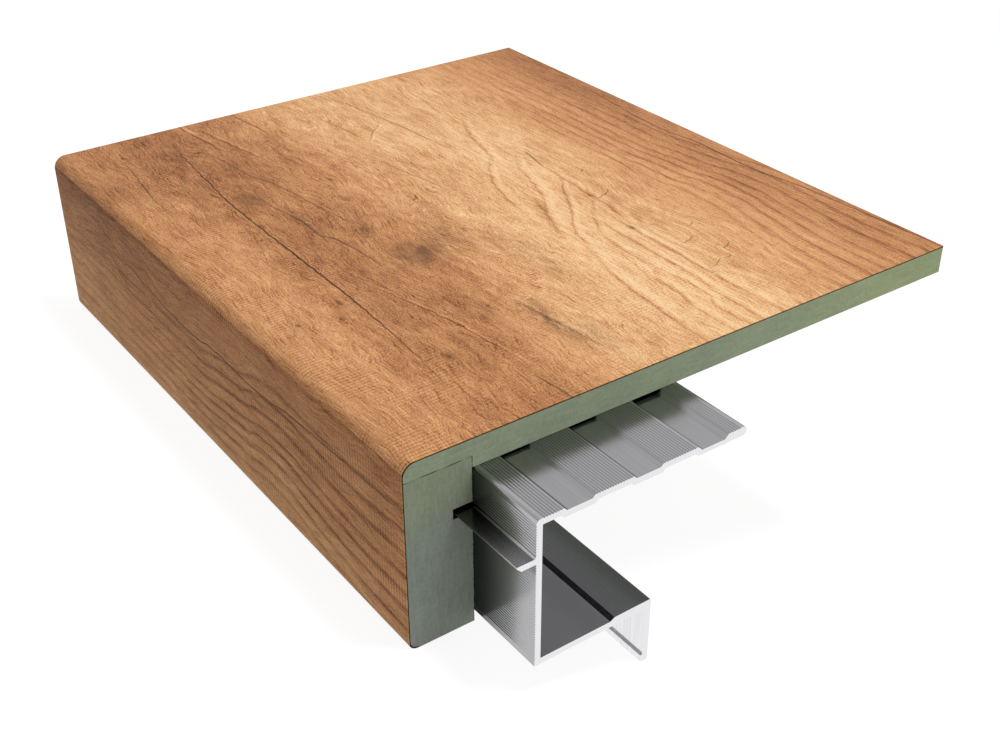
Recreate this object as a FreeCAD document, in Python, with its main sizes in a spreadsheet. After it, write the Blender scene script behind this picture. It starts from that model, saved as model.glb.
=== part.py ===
"""Sample length of a renovation stair tread: laminated nosing tread on an aluminium support profile.

All pieces are drawn level, as the tread lies on a stair: X runs along the nosing, Y from the nosing
to the back, Z up, with Y = 0 at the front face and Z = 0 at the foot of the nosing.  A placement then
tips the whole tread forward, on to the foot of the nosing and the toe of the lip, as it rests on a floor.
"""
import FreeCAD, Part
import os
import Sketcher

SIZES = {
    # tread
    "tread_length": 214.0,
    "tread_depth": 186.0,
    "nose_height": 56.0,
    "board_thickness": 8.0,
    "decor_thickness": 0.5,
    "nose_top_radius": 4.0,
    "nose_foot_radius": 2.8,
    "block_depth": 19.0,
    "rebate_depth": 3.2,
    # clearance of the profile's tongue in the groove of the nose block
    "tongue_gap_above": 1.0,
    "tongue_gap_below": 0.3,
    "tongue_gap_tip": 0.3,
    # support profile
    "profile_overhang": 25.0,
    "wall": 1.8,
    "corner_radius": 1.3,
    "flange_depth": 64.5,
    "flange_end_radius": 1.1,
    "recess_start": 12.4,
    "end_land": 5.9,
    "recess_floor": 7.4,
    "recess_drop": 0.85,
    "last_recess_drop": 1.3,
    "tongue_drop": 10.9,
    "tongue_reach": 5.4,
    "tongue_wall": 1.7,
    "tongue_bevel": 1.3,
    "tongue_root_radius": 0.6,
    "shelf_drop": 43.9,
    "shelf_depth": 36.6,
    "shelf_back_radius": 0.5,
    "step_start": 23.4,
    "step_rise": 0.8,
    "step_run": 1.4,
    "lip_length": 20.4,
    "toe_reach": 0.6,
    "toe_height": 2.4,
    "lip_end_radius": 0.6,
    # fine ribs of the extrusion
    "rib_pitch": 0.8,
    "rib_width": 0.5,
    "rib_depth": 0.25,
    "rib_margin": 0.4,
    "rib_smooth_strip": 1.9,
}

doc = FreeCAD.newDocument("stair_tread")
sheet = doc.addObject("Spreadsheet::Sheet", "Sizes")
for row, (alias, value) in enumerate(SIZES.items(), start=1):
    sheet.set(f"A{row}", alias)
    sheet.set(f"B{row}", str(value))
    sheet.setAlias(f"B{row}", alias)
doc.recompute()


def size(alias):
    """Expression text for one cell of the sheet."""
    return f"Sizes.{alias}"


def number(expression):
    """Present value of an expression, used to draw a sketch before it is constrained."""
    value = sheet.evalExpression(expression)
    return float(getattr(value, "Value", value))


# Places that several pieces share, as expressions
CORE_TOP = "(Sizes.nose_height - Sizes.decor_thickness)"
UNDERSIDE = "(Sizes.nose_height - Sizes.decor_thickness - Sizes.board_thickness)"
BLOCK_TOP = f"({UNDERSIDE} + Sizes.rebate_depth)"
BLOCK_BACK = "(Sizes.decor_thickness + Sizes.block_depth)"
PROFILE_LENGTH = "(Sizes.tread_length + Sizes.profile_overhang)"


def new_body(label):
    body = doc.addObject("PartDesign::Body", label)
    body.Label = label
    return body


def section_sketch(body, name):
    """A sketch across the tread: its x axis is Y of the tread, its y axis is Z."""
    sketch = body.newObject("Sketcher::SketchObject", name)
    plane = next(f for f in body.Origin.OriginFeatures if f.Role == "YZ_Plane")
    sketch.AttachmentSupport = [(plane, "")]
    sketch.MapMode = "FlatFace"
    return sketch


def bind(sketch, kind, arguments, expression):
    """Add a dimension to a sketch and tie it to the sheet."""
    index = sketch.addConstraint(Sketcher.Constraint(kind, *arguments, number(expression)))
    sketch.setExpression(f"Constraints[{index}]", expression)


def draw_outline(sketch, corners, arcs=None):
    """Closed outline through corners, each a pair of expressions.

    arcs maps the number of a corner to (radius, centre): the side that starts there is then an arc.
    """
    arcs = arcs or {}
    points = [FreeCAD.Vector(number(y), number(z), 0) for y, z in corners]
    count = len(points)
    starts = []
    for i, start in enumerate(points):
        end = points[(i + 1) % count]
        if i in arcs:
            radius, centre = arcs[i]
            middle = FreeCAD.Vector(number(centre[0]), number(centre[1]), 0)
            circle = Part.Circle(middle, FreeCAD.Vector(0, 0, 1), number(radius))
            left_turn = (start - middle).cross(end - middle).z > 0
            low, high = (start, end) if left_turn else (end, start)
            arc = Part.ArcOfCircle(circle, circle.parameter(low), circle.parameter(high))
            geometry = sketch.addGeometry(arc)
            first = 1 if left_turn else 2
        else:
            geometry = sketch.addGeometry(Part.LineSegment(start, end))
            first = 1
        starts.append((geometry, first, 3 - first))
    for i, (geometry, first, last) in enumerate(starts):
        after, after_first, _ = starts[(i + 1) % count]
        sketch.addConstraint(Sketcher.Constraint("Coincident", geometry, last, after, after_first))
    for (geometry, first, last), (y, z) in zip(starts, corners):
        bind(sketch, "DistanceX", (-1, 1, geometry, first), y)
        bind(sketch, "DistanceY", (-1, 1, geometry, first), z)
    for i, (radius, centre) in arcs.items():
        bind(sketch, "Radius", (starts[i][0],), radius)


def pad_along(body, sketch, name, length):
    pad = body.newObject("PartDesign::Pad", name)
    pad.Profile = sketch
    pad.SideType = "Symmetric"
    pad.setExpression("Length", length)
    sketch.Visibility = False
    doc.recompute()
    return pad


def pocket_through(body, sketch, name):
    """Cut a sketch through the whole length and make sure that it did take something away."""
    before = body.Shape.Volume
    pocket = body.newObject("PartDesign::Pocket", name)
    pocket.Profile = sketch
    pocket.SideType = "Symmetric"
    pocket.setExpression("Length", f"{PROFILE_LENGTH} * 2")
    sketch.Visibility = False
    doc.recompute()
    if not body.Shape.Volume < before:
        raise RuntimeError(f"{name} cuts nothing")
    return pocket


def edge_at(feature, y, z):
    """Name of the edge along X that passes through the point (y, z) of the section."""
    place = (number(y), number(z))
    for i, edge in enumerate(feature.Shape.Edges, start=1):
        ends = [v.Point for v in edge.Vertexes]
        if len(ends) == 2 and all(abs(p.y - place[0]) < 1e-5 and abs(p.z - place[1]) < 1e-5 for p in ends):
            return f"Edge{i}"
    raise RuntimeError(f"no edge along X at {place}")


def round_edges(body, base, name, radius, places):
    fillet = body.newObject("PartDesign::Fillet", name)
    fillet.Base = (base, [edge_at(base, y, z) for y, z in places])
    fillet.setExpression("Radius", radius)
    doc.recompute()
    return fillet


# Board: a plain panel with a rebate under its front and the front top edge rounded
board = new_body("tread_board")
FRONT = size("decor_thickness")
BACK = size("tread_depth")
board_sketch = section_sketch(board, "BoardSection")
draw_outline(board_sketch, [(FRONT, UNDERSIDE), (BACK, UNDERSIDE), (BACK, CORE_TOP), (FRONT, CORE_TOP)])
board_pad = pad_along(board, board_sketch, "BoardPanel", size("tread_length"))
board_round = round_edges(
    board, board_pad, "BoardFrontRound", "Sizes.nose_top_radius - Sizes.decor_thickness", [(FRONT, CORE_TOP)]
)
rebate_sketch = section_sketch(board, "RebateSection")
rebate_corners = [(FRONT, UNDERSIDE), (BLOCK_BACK, UNDERSIDE), (BLOCK_BACK, BLOCK_TOP), (FRONT, BLOCK_TOP)]
draw_outline(rebate_sketch, rebate_corners)
pocket_through(board, rebate_sketch, "NoseRebate")

# Nose block: on edge in the rebate, with a seat for the decor's end at its foot and a groove in its back
block = new_body("nose_block")
block_sketch = section_sketch(block, "BlockSection")
SEAT_TOP = size("decor_thickness")
FOOT = size("nose_foot_radius")
FOOT_CORE = "(Sizes.nose_foot_radius - Sizes.decor_thickness)"
block_corners = [
    (FOOT, "0"),
    (BLOCK_BACK, "0"),
    (BLOCK_BACK, BLOCK_TOP),
    (FRONT, BLOCK_TOP),
    (FRONT, FOOT),
    (FOOT, SEAT_TOP),
]
draw_outline(block_sketch, block_corners, {4: (FOOT_CORE, (FOOT, FOOT))})
pad_along(block, block_sketch, "Block", size("tread_length"))
groove_sketch = section_sketch(block, "GrooveSection")
GROOVE_TOP = f"({UNDERSIDE} - Sizes.tongue_drop + Sizes.tongue_gap_above)"
GROOVE_FOOT = f"({UNDERSIDE} - Sizes.tongue_drop - Sizes.tongue_wall - Sizes.tongue_gap_below)"
GROOVE_FLOOR = f"({BLOCK_BACK} - Sizes.tongue_reach - Sizes.tongue_gap_tip)"
groove_corners = [
    (GROOVE_FLOOR, GROOVE_FOOT),
    (BLOCK_BACK, GROOVE_FOOT),
    (BLOCK_BACK, GROOVE_TOP),
    (GROOVE_FLOOR, GROOVE_TOP),
]
draw_outline(groove_sketch, groove_corners)
pocket_through(block, groove_sketch, "TongueGroove")

# Decor: one sheet bent over the top, the nosing and its foot
decor = new_body("decor_laminate")
decor_sketch = section_sketch(decor, "DecorSection")
TOP = size("nose_height")
ROUND = size("nose_top_radius")
ROUND_Z = "(Sizes.nose_height - Sizes.nose_top_radius)"
decor_corners = [
    (BACK, TOP),
    (ROUND, TOP),
    ("0", ROUND_Z),
    ("0", FOOT),
    (FOOT, "0"),
    (FOOT, SEAT_TOP),
    (FRONT, FOOT),
    (FRONT, ROUND_Z),
    (ROUND, CORE_TOP),
    (BACK, CORE_TOP),
]
decor_arcs = {
    1: (ROUND, (ROUND, ROUND_Z)),
    3: (FOOT, (FOOT, FOOT)),
    5: (FOOT_CORE, (FOOT, FOOT)),
    7: ("Sizes.nose_top_radius - Sizes.decor_thickness", (ROUND, ROUND_Z)),
}
draw_outline(decor_sketch, decor_corners, decor_arcs)
pad_along(decor, decor_sketch, "DecorSheet", size("tread_length"))

# Support profile: section measured back from the web's front face and down from the board
profile = new_body("support_profile")


def back(expression):
    """Y of a point that lies the given distance behind the web's front face."""
    return f"({BLOCK_BACK} + ({expression}))"


def down(expression):
    """Z of a point that lies the given distance below the board."""
    return f"({UNDERSIDE} - ({expression}))"


WALL = size("wall")
FOLD = f"({WALL} * tan(22.5 deg))"
BUMP = "(Sizes.wall + Sizes.recess_drop)"
RECESS_COUNT = 3
FLANGE_END = size("flange_depth")
LAST_CENTRE = f"({FLANGE_END} - Sizes.end_land - Sizes.last_recess_drop - Sizes.recess_floor / 2)"
RECESS_PITCH = f"(({LAST_CENTRE} - Sizes.recess_start) / {RECESS_COUNT - 1})"


def recess(i):
    """Start, floor start, floor end and end of recess i, with its depth."""
    drop = size("last_recess_drop") if i == RECESS_COUNT - 1 else size("recess_drop")
    centre = f"(Sizes.recess_start + {i} * {RECESS_PITCH})"
    floor_start = f"({centre} - Sizes.recess_floor / 2)"
    floor_end = f"({centre} + Sizes.recess_floor / 2)"
    return f"({floor_start} - {drop})", floor_start, floor_end, f"({floor_end} + {drop})", drop


section = [("0", "0")]
for i in range(RECESS_COUNT):
    start, floor_start, floor_end, end, drop = recess(i)
    section += [(start, "0"), (floor_start, drop), (floor_end, drop), (end, "0")]
section += [(FLANGE_END, "0"), (FLANGE_END, BUMP)]
for i in reversed(range(RECESS_COUNT)):
    start, floor_start, floor_end, end, drop = recess(i)
    if i < RECESS_COUNT - 1:
        section += [(f"{end} + {FOLD}", WALL), (f"{end} + {FOLD} - Sizes.recess_drop", BUMP)]
    section += [(f"{start} - {FOLD} + Sizes.recess_drop", BUMP), (f"{start} - {FOLD}", WALL)]
SHELF_TOP = "(Sizes.shelf_drop - Sizes.wall)"
RAISED_TOP = "(Sizes.shelf_drop - Sizes.wall - Sizes.step_rise)"
LIP_BACK = size("shelf_depth")
LIP_FRONT = "(Sizes.shelf_depth - Sizes.wall)"
TOE_FRONT = f"({LIP_FRONT} - Sizes.toe_reach)"
LIP_FOOT = f"({RAISED_TOP} + Sizes.lip_length)"
TOE_TOP = f"({LIP_FOOT} - Sizes.toe_height)"
section += [
    (WALL, WALL),
    (WALL, SHELF_TOP),
    (size("step_start"), SHELF_TOP),
    ("Sizes.step_start + Sizes.step_run", RAISED_TOP),
    (LIP_BACK, RAISED_TOP),
    (LIP_BACK, LIP_FOOT),
    (TOE_FRONT, LIP_FOOT),
    (TOE_FRONT, TOE_TOP),
    (LIP_FRONT, TOE_TOP),
    (LIP_FRONT, size("shelf_drop")),
    ("0", size("shelf_drop")),
]
TONGUE_FOOT = "(Sizes.tongue_drop + Sizes.tongue_wall)"
TONGUE_TIP = "-Sizes.tongue_reach"
section += [
    ("0", TONGUE_FOOT),
    (f"{TONGUE_TIP} + Sizes.tongue_bevel", TONGUE_FOOT),
    (TONGUE_TIP, f"{TONGUE_FOOT} - Sizes.tongue_bevel"),
    (TONGUE_TIP, size("tongue_drop")),
    ("0", size("tongue_drop")),
]
profile_sketch = section_sketch(profile, "ProfileSection")
draw_outline(profile_sketch, [(back(y), down(z)) for y, z in section])
profile_pad = pad_along(profile, profile_sketch, "Extrusion", PROFILE_LENGTH)


def places(*pairs):
    return [(back(y), down(z)) for y, z in pairs]


rounded = round_edges(profile, profile_pad, "CornerRound", size("corner_radius"), places(("0", "0")))
flange_edges = places((FLANGE_END, "0"), (FLANGE_END, BUMP))
rounded = round_edges(profile, rounded, "FlangeEndRound", size("flange_end_radius"), flange_edges)
rounded = round_edges(
    profile, rounded, "TongueRoot", size("tongue_root_radius"), places(("0", size("tongue_drop")))
)
rounded = round_edges(
    profile, rounded, "ShelfBackRound", size("shelf_back_radius"), places((LIP_BACK, RAISED_TOP))
)
lip_edges = places((LIP_BACK, LIP_FOOT), (TOE_FRONT, LIP_FOOT))
rounded = round_edges(profile, rounded, "LipFootRound", size("lip_end_radius"), lip_edges)


def rib_field(name, first, span, upright):
    """Rows of fine V grooves across a face, from `first` over the length `span`, at the rib pitch."""
    sketch = section_sketch(profile, f"{name}Section")
    half = "Sizes.rib_width / 2"
    depth = size("rib_depth")
    if upright:
        corners = places(("0", f"{first} - {half}"), (depth, first), ("0", f"{first} + {half}"))
    else:
        corners = places((f"{first} - {half}", "0"), (first, depth), (f"{first} + {half}", "0"))
    draw_outline(sketch, corners)
    groove = pocket_through(profile, sketch, f"{name}Groove")
    rows = profile.newObject("PartDesign::LinearPattern", f"{name}Rows")
    rows.Originals = [groove]
    rows.Direction = (sketch, ["V_Axis" if upright else "H_Axis"])
    rows.Reversed = upright
    rows.Mode = "Spacing"
    rows.setExpression("Offset", size("rib_pitch"))
    rows.setExpression("Occurrences", f"max(2; floor(({span}) / Sizes.rib_pitch) + 1)")
    profile.Tip = rows
    doc.recompute()
    return rows


MARGIN = size("rib_margin")
land_start = size("rib_smooth_strip")
for i in range(RECESS_COUNT + 1):
    land_end = recess(i)[0] if i < RECESS_COUNT else f"({FLANGE_END} - Sizes.flange_end_radius)"
    land_span = f"{land_end} - {land_start} - 2 * {MARGIN}"
    rib_field(f"Land{i + 1}Ribs", f"({land_start} + {MARGIN})", land_span, False)
    land_start = recess(min(i, RECESS_COUNT - 1))[3]
UPPER_END = "(Sizes.tongue_drop - Sizes.tongue_root_radius)"
rib_field(
    "UpperWebRibs",
    f"(Sizes.corner_radius + {MARGIN})",
    f"{UPPER_END} - Sizes.corner_radius - 2 * {MARGIN}",
    True,
)
rib_field(
    "LowerWebRibs",
    f"({TONGUE_FOOT} + {MARGIN})",
    f"Sizes.shelf_drop - {TONGUE_FOOT} - Sizes.rib_smooth_strip - {MARGIN}",
    True,
)

# Rest on a floor: the tread tips until the foot of the nosing and the toe of the lip lie on one level
TOE_Y = back(f"{TOE_FRONT} + Sizes.lip_end_radius")
TOE_Z = down(f"{LIP_FOOT} - Sizes.lip_end_radius")
RUN = f"({TOE_Y} - {FOOT})"
FALL = f"({FOOT} - {TOE_Z})"
SPAN = f"sqrt({RUN} ^ 2 + {FALL} ^ 2)"
TILT = f"(atan2({FALL}; {RUN}) - asin(({FOOT} - Sizes.lip_end_radius) / {SPAN}))"
NOSE_LIMIT = f"({ROUND} * cos({TILT}) - {ROUND_Z} * sin({TILT}) - {ROUND})"
BACK_LIMIT = f"({BACK} * cos({TILT}) - {UNDERSIDE} * sin({TILT}))"
CENTRE = f"(-({NOSE_LIMIT} + {BACK_LIMIT}) / 2)"
LIFT = f"({FOOT} * (1 - sin({TILT}) - cos({TILT})))"
tipped = FreeCAD.Rotation(FreeCAD.Vector(1, 0, 0), number(TILT))
for body in (board, block, decor, profile):
    body.Placement = FreeCAD.Placement(FreeCAD.Vector(), tipped)
    body.setExpression("Placement.Rotation.Angle", TILT)
    if body is not profile:
        body.setExpression("Placement.Base.x", "-Sizes.profile_overhang / 2")
    body.setExpression("Placement.Base.y", CENTRE)
    body.setExpression("Placement.Base.z", LIFT)
doc.recompute()

for item in doc.Objects:
    if "Invalid" in item.State or "Error" in item.State:
        raise RuntimeError(f"{item.Name}: {item.State}")
os.makedirs("parts", exist_ok=True)
for body in (board, block, decor, profile):
    shape = body.Shape
    if shape.isNull() or not shape.isValid() or len(shape.Solids) != 1:
        raise RuntimeError(f"{body.Label} is not one sound solid")
    print(body.Label, "volume", round(shape.Volume, 1), "faces", len(shape.Faces), shape.BoundBox)
    shape.exportStep(f"parts/{body.Label}.step")
print("tilt", number(TILT))
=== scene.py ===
# %% [markdown]
# # A stair tread sample in Blender
# The object is a short length of renovation tread: a green fibreboard with a wood decor bent over its
# nosing, on an aluminium profile that wraps the old step.  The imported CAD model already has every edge,
# rib and recess at its real size, so the shapes stay as they are and this lesson is about finishes,
# light and the camera.  We begin by loading that model and keeping its box.

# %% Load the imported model
import math

import bmesh
import bpy
from mathutils import Euler, Matrix, Vector


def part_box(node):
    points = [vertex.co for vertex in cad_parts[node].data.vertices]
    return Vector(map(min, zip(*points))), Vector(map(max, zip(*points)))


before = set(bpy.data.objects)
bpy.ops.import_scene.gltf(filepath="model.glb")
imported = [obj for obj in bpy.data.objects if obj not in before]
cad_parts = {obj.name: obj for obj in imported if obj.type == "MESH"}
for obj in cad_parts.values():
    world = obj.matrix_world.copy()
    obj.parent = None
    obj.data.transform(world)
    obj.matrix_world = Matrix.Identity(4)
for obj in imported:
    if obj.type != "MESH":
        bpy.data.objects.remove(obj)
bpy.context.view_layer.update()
scene = bpy.context.scene
scene.view_settings.view_transform = "Standard"
print("nodes:", sorted(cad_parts))

# %% [markdown]
# The tread isn't level in the model: unheld, it tips forward on to the foot of the nosing and the toe of
# the profile's lip.  Finishes are easier to think about on a level tread, so we build the turn that takes
# a level tread to its resting place.  Sizes are the tread's own, in millimetres; its tilt, shift and lift
# at rest are those of the CAD model.

# %% How the tread rests
MM = 0.001
TREAD_LENGTH = 214.0
TREAD_DEPTH = 186.0
NOSE_HEIGHT = 56.0
BOARD_FACE = 8.5
PROFILE_OVERHANG = 25.0
REST_TILT = math.radians(15.331065)
REST_SHIFT_Y = -76.465650
REST_LIFT = -0.640669

near_end_x = (TREAD_LENGTH - PROFILE_OVERHANG) / 2
far_end_x = near_end_x - TREAD_LENGTH
rest = Matrix.Translation(Vector((0.0, REST_SHIFT_Y, REST_LIFT)) * MM) @ Matrix.Rotation(REST_TILT, 4, "X")


def on_tread(x, y, z):
    """Place on the level tread, in mm from the near end, front and foot, to its resting place in metres."""
    return rest @ (Vector((x + near_end_x, y, z)) * MM)


low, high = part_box("decor_laminate")
print("nose top of the decor:", [round(v, 4) for v in on_tread(0, 0, NOSE_HEIGHT)], "decor box:", low, high)

# %% [markdown]
# Material nodes are easier to read when each line says what is computed.  This small helper wraps one
# node tree: `math`, `noise`, `ramp` and `mix` each add a node, join its inputs and give back its output.


# %% A helper for node trees
class Finish:
    """Adds nodes to a material, one call per node."""

    CUT_FACE = 0.7

    def __init__(self, name):
        self.material = bpy.data.materials.new(name)
        self.material.use_nodes = True
        self.tree = self.material.node_tree
        self.shader = self.tree.nodes["Principled BSDF"]

    def node(self, kind, **settings):
        made = self.tree.nodes.new(kind)
        for key, value in settings.items():
            setattr(made, key, value)
        return made

    def join(self, value, socket):
        if isinstance(value, bpy.types.NodeSocket):
            self.tree.links.new(value, socket)
        else:
            socket.default_value = value

    def math(self, operation, *values, clamp=False):
        made = self.node("ShaderNodeMath", operation=operation, use_clamp=clamp)
        for value, socket in zip(values, made.inputs):
            self.join(value, socket)
        return made.outputs[0]

    def span(self, value, low, high, to_low=0.0, to_high=1.0, smooth=False):
        kind = "SMOOTHSTEP" if smooth else "LINEAR"
        made = self.node("ShaderNodeMapRange", interpolation_type=kind)
        for data, socket in zip((value, low, high, to_low, to_high), made.inputs):
            self.join(data, socket)
        return made.outputs[0]

    def vector(self, x, y, z=0.0):
        made = self.node("ShaderNodeCombineXYZ")
        for value, socket in zip((x, y, z), made.inputs):
            self.join(value, socket)
        return made.outputs[0]

    def scaled(self, vector, factors):
        made = self.node("ShaderNodeVectorMath", operation="MULTIPLY")
        self.join(vector, made.inputs[0])
        self.join(factors, made.inputs[1])
        return made.outputs[0]

    def noise(self, vector, scale=1.0, detail=2.0, roughness=0.5, distortion=0.0):
        made = self.node("ShaderNodeTexNoise")
        self.join(vector, made.inputs["Vector"])
        self.join(scale, made.inputs["Scale"])
        self.join(detail, made.inputs["Detail"])
        self.join(roughness, made.inputs["Roughness"])
        self.join(distortion, made.inputs["Distortion"])
        return made.outputs[0]

    def ramp(self, value, stops):
        made = self.node("ShaderNodeValToRGB")
        elements = made.color_ramp.elements
        while len(elements) < len(stops):
            elements.new(0.5)
        for element, (position, colour) in zip(elements, stops):
            element.position = position
            element.color = (*colour, 1.0)
        self.join(value, made.inputs[0])
        return made.outputs[0]

    def curve(self, value, points):
        made = self.node("ShaderNodeFloatCurve")
        line = made.mapping.curves[0]
        while len(line.points) < len(points):
            line.points.new(0.5, 0.5)
        for point, place in zip(line.points, points):
            point.location = place
        made.mapping.update()
        self.join(value, made.inputs["Value"])
        return made.outputs[0]

    def mix(self, factor, first, second, blend="MIX"):
        made = self.node("ShaderNodeMix", data_type="RGBA", blend_type=blend)
        self.join(factor, made.inputs[0])
        for colour, socket in ((first, made.inputs[6]), (second, made.inputs[7])):
            self.join(colour if isinstance(colour, bpy.types.NodeSocket) else (*colour, 1.0), socket)
        return made.outputs[2]

    def bump(self, height, strength, distance):
        made = self.node("ShaderNodeBump")
        made.inputs["Strength"].default_value = strength
        made.inputs["Distance"].default_value = distance
        self.join(height, made.inputs["Height"])
        self.join(made.outputs[0], self.shader.inputs["Normal"])

    def level_place(self):
        """X, Y and Z in mm on the level tread, X counted from its far end."""
        place = self.node("ShaderNodeTexCoord").outputs["Object"]
        turn = self.node("ShaderNodeMapping", vector_type="TEXTURE")
        self.join(place, turn.inputs["Vector"])
        turn.inputs["Location"].default_value = Vector((far_end_x, REST_SHIFT_Y, REST_LIFT)) * MM
        turn.inputs["Rotation"].default_value = Euler((REST_TILT, 0.0, 0.0))
        turn.inputs["Scale"].default_value = (MM, MM, MM)
        split = self.node("ShaderNodeSeparateXYZ")
        self.join(turn.outputs[0], split.inputs[0])
        return turn.outputs[0], split.outputs["X"], split.outputs["Y"], split.outputs["Z"]

    def end_grain_mask(self):
        """1 on the faces that were cut square across the tread, 0 elsewhere."""
        split = self.node("ShaderNodeSeparateXYZ")
        self.join(self.node("ShaderNodeTexCoord").outputs["Normal"], split.inputs[0])
        return self.math("GREATER_THAN", self.math("ABSOLUTE", split.outputs["X"]), self.CUT_FACE)

    def slant(self):
        """0 on faces that are level or upright on the tread, 0.5 on faces at 45 degrees between them."""
        turn = self.node("ShaderNodeMapping", vector_type="TEXTURE")
        self.join(self.node("ShaderNodeTexCoord").outputs["Normal"], turn.inputs["Vector"])
        turn.inputs["Rotation"].default_value = Euler((REST_TILT, 0.0, 0.0))
        split = self.node("ShaderNodeSeparateXYZ")
        self.join(turn.outputs[0], split.inputs[0])
        return self.math("ABSOLUTE", self.math("MULTIPLY", split.outputs["Y"], split.outputs["Z"]))


def tint(red, green, blue):
    """A colour as read on screen, 0 to 255, to the linear values that nodes take."""
    def linear(value):
        value /= 255.0
        return value / 12.92 if value <= 0.04045 else ((value + 0.055) / 1.055) ** 2.4
    return (linear(red), linear(green), linear(blue))


def dress(node_name, finish):
    """Put one finish on a node of the CAD model."""
    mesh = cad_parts[node_name].data
    mesh.materials.clear()
    mesh.materials.append(finish.material)
    print(node_name, "wears", finish.material.name)


# %% [markdown]
# The decor is a printed sheet, so its pattern is drawn flat and the sheet is bent afterwards.  We unroll
# it: `along` runs with the nosing, and `across` starts at the back edge, comes forward over the top and
# goes on down the front.  A print comes off a roller and repeats, so past the nosing the drawing starts
# again: `print_across` counts from there.  It could be drawn by noise alone, but then the cracks and the
# cathedral of the grain would lie anywhere.  So the main lines are laid down one by one, as curves through
# a few points in millimetres, and noise does the rest.

# %% Cracks of the print
SHEET_WIDTH = TREAD_DEPTH + NOSE_HEIGHT
PRINT_REPEAT = 198.5
PRINT_EDGE = 188.6
# each line: points along and across the sheet, half its width, and how dark it is
CRACKS = [
    (
        [(10, 149.4), (28, 151.2), (53, 153.5), (67, 154.6), (117, 155.1), (147, 155.4), (192, 158.8)],
        0.42,
        0.95,
    ),
    ([(22, 143.8), (47, 140.4), (53, 139.9), (58, 137.7), (88, 133.1), (108, 130.0)], 0.50, 0.52),
    ([(70, 146.4), (83, 144.0), (93, 142.8), (100, 143.1), (107, 140.6), (131, 138.0)], 0.46, 0.72),
    ([(-8, 122.3), (11, 120.0), (18, 119.0), (25, 119.4)], 0.41, 0.72),
    ([(22, 122.8), (33, 123.3), (44, 124.2)], 0.30, 0.45),
    ([(8, 168.4), (24, 169.2), (40, 171.2), (52, 172.5), (68, 172.9)], 0.34, 0.62),
    ([(76, 155.2), (88, 158.3), (110, 163.8)], 0.26, 0.45),
    ([(17, 98.3), (33, 96.2), (52, 94.2)], 0.38, 0.45),
    ([(60, 100.5), (75, 98.6), (97, 95.4), (104, 96.9)], 0.38, 0.42),
    ([(-10, 88.0), (33, 80.2), (75, 75.4)], 0.34, 0.52),
    ([(86.5, 56.8), (92, 57.8), (101, 59.4)], 0.52, 0.85),
    ([(100, 36.7), (110, 37.0), (125, 39.0)], 0.31, 0.68),
    ([(200, 138.6), (220, 136.4)], 0.40, 0.80),
    (
        [(40, 1.2), (70, 5.0), (100, 7.0), (117, 5.2), (135, 5.8), (160, 3.2), (190, 1.6), (230, 0.2)],
        0.45,
        0.74,
    ),
]
# fine cracks across the grain: points across and along the sheet, and half the width
CRAZING = [
    ([(47.2, 173.0), (50.2, 177.0), (52.4, 177.4), (53.4, 181.0), (55.6, 182.4), (57.2, 181.0)], 0.34),
    ([(57.6, 181.0), (60.2, 183.6), (62.8, 184.0)], 0.30),
    ([(47.0, 157.6), (49.0, 160.2), (50.8, 160.8)], 0.30),
    ([(54.2, 165.6), (57.6, 168.2), (60.6, 168.0)], 0.32),
    ([(56.4, 159.6), (57.8, 155.0), (60.4, 153.6)], 0.30),
    ([(53.4, 126.2), (57.2, 129.0), (61.4, 129.8)], 0.30),
    ([(49.6, 109.0), (53.0, 112.0)], 0.28),
]
print(len(CRACKS), "cracks")

# %% [markdown]
# Growth lines are softer and browner than cracks.  Those of the back strip run side by side and swing
# round the same place, so one curve bends them all.  Those round the cathedral are drawn one by one.

# %% Growth lines of the print
# each line: points along and across the sheet, and half its width
GROWTH_LINES = [
    ([(84, 58), (96, 66), (106, 69), (120, 74), (128, 79), (148, 87)], 1.04),
    ([(82, 67), (94, 76), (104, 81), (124, 85)], 0.94),
    (
        [(126, 54), (131.7, 64), (144, 72.5), (153, 75.8), (163, 76.7), (195, 75.4), (202, 77.8), (224, 74)],
        0.83,
    ),
    ([(104, 56), (120, 66), (132, 72.5), (143, 80), (158, 84)], 0.83),
    ([(116, 75.6), (130, 80.5), (144, 86)], 1.35),
    ([(146, 83.4), (157, 85), (176, 89.6), (224, 93)], 1.04),
    ([(156, 76.6), (165, 78.8), (176, 81), (190, 81), (198, 83), (224, 81.6)], 0.83),
    ([(133, 64), (145, 70), (154, 70.8), (182, 71), (197, 72.5), (226, 72.5)], 0.83),
    ([(140, 64.6), (151, 65.8), (167, 65.8), (188, 66), (205, 65.4), (226, 66)], 0.73),
    ([(50, 57), (66, 64), (78, 67), (94, 72)], 0.94),
    ([(98, 59.2), (120, 60.4), (132, 61), (150, 64)], 0.83),
    ([(-20, 143), (13, 140), (30, 137.8)], 0.48),
    ([(4, 137), (19, 134.6), (28, 132.9), (44, 130.2)], 0.48),
    ([(134, 148), (150, 144), (167, 140), (200, 136.4)], 0.34),
    ([(36, 82), (41, 86.5), (44, 90), (51, 95)], 0.48),
    ([(160, 121), (180, 118.4), (206, 115)], 0.7),
]
# place on the strip, darkness
BACK_STRIP_LINES = [
    (9.0, 0.6),
    (13.4, 0.7),
    (17.9, 0.8),
    (22.5, 0.8),
    (25.8, 0.9),
    (29.6, 1.0),
    (33.7, 0.9),
    (37.4, 0.6),
]
BACK_STRIP_WIDTH = 44.0
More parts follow.
